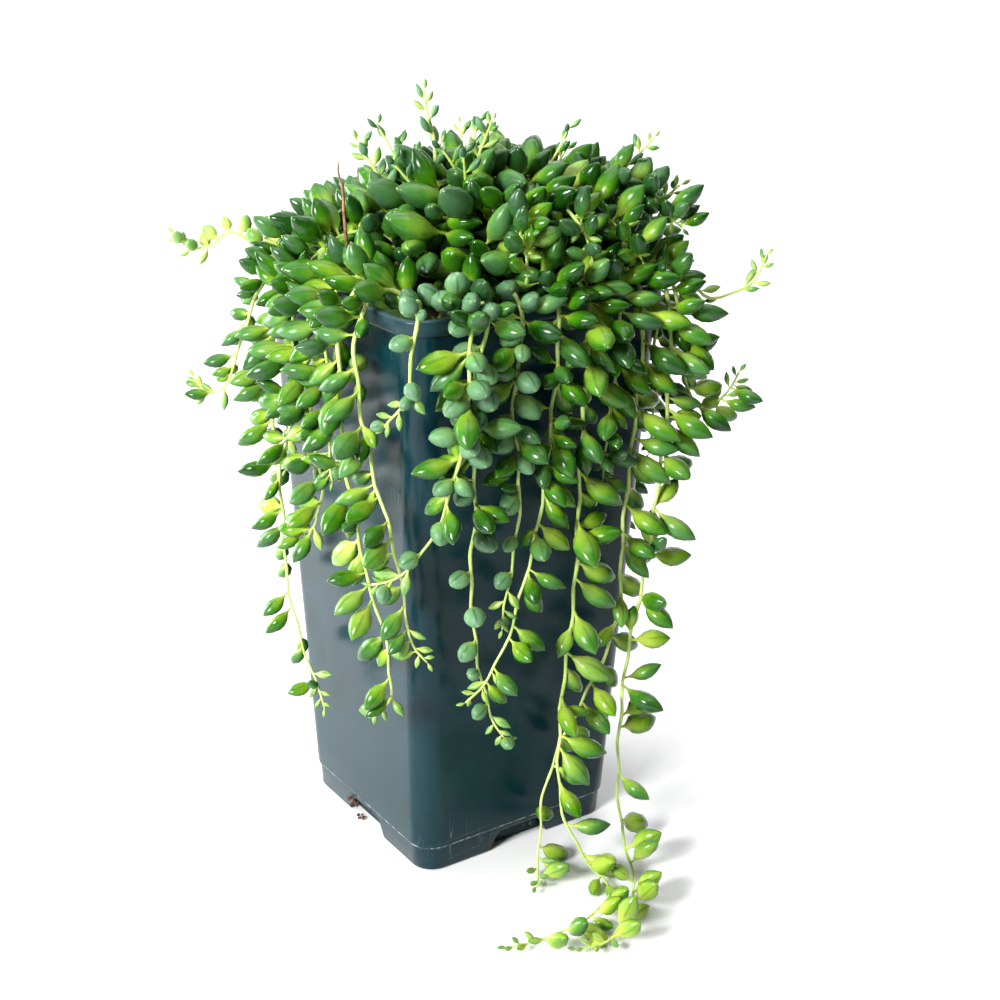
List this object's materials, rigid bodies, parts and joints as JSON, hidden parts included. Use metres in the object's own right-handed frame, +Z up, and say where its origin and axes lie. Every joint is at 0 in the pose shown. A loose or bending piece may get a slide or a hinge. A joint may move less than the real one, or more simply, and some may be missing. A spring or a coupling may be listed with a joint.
{
  "type": "potted trailing succulent",
  "caption": "Trailing succulent with plump pointed leaves spilling over a tall square dark plastic nursery pot, its longest stems lying on the table.",
  "frame": {"origin": "on the underside of the pot's floor, at its centre", "axes": "+Z up; +X towards the side where the longest stems hang to the table; -Y towards the other side seen with it, so that the front corner is between +X and -Y"},
  "size_m": [0.1848, 0.1534, 0.2585],
  "materials": {
    "pot_plastic": "glossy, finely scratched",
    "coir_soil": "loose fibrous coir",
    "leaf_green": "smooth waxy leaf",
    "dry_twig": "dry and dull"
  },
  "bodies": {
    "root": {"crown": "leaf_green", "dry_twig": "dry_twig", "pot": "pot_plastic", "soil": "coir_soil", "stem_corner_reach": "leaf_green", "stem_corner_short": "leaf_green", "stem_east_beaded": "leaf_green", "stem_east_far": "leaf_green", "stem_east_fine": "leaf_green", "stem_east_long": "leaf_green", "stem_east_middle": "leaf_green", "stem_east_round": "leaf_green", "stem_east_short": "leaf_green", "stem_east_table": "leaf_green", "stem_east_tendril": "leaf_green", "stem_east_trailing": "leaf_green", "stem_north_1": "leaf_green", "stem_north_2": "leaf_green", "stem_north_3": "leaf_green", "stem_north_4": "leaf_green", "stem_north_5": "leaf_green", "stem_north_6": "leaf_green", "stem_south_corner": "leaf_green", "stem_south_curl": "leaf_green", "stem_south_hook": "leaf_green", "stem_south_leafy": "leaf_green", "stem_south_long": "leaf_green", "stem_south_short": "leaf_green", "stem_south_spray": "leaf_green", "stem_west_1": "leaf_green", "stem_west_2": "leaf_green", "stem_west_3": "leaf_green", "stem_west_4": "leaf_green", "stem_west_5": "leaf_green", "stem_west_6": "leaf_green"}
  },
  "joints": []
}
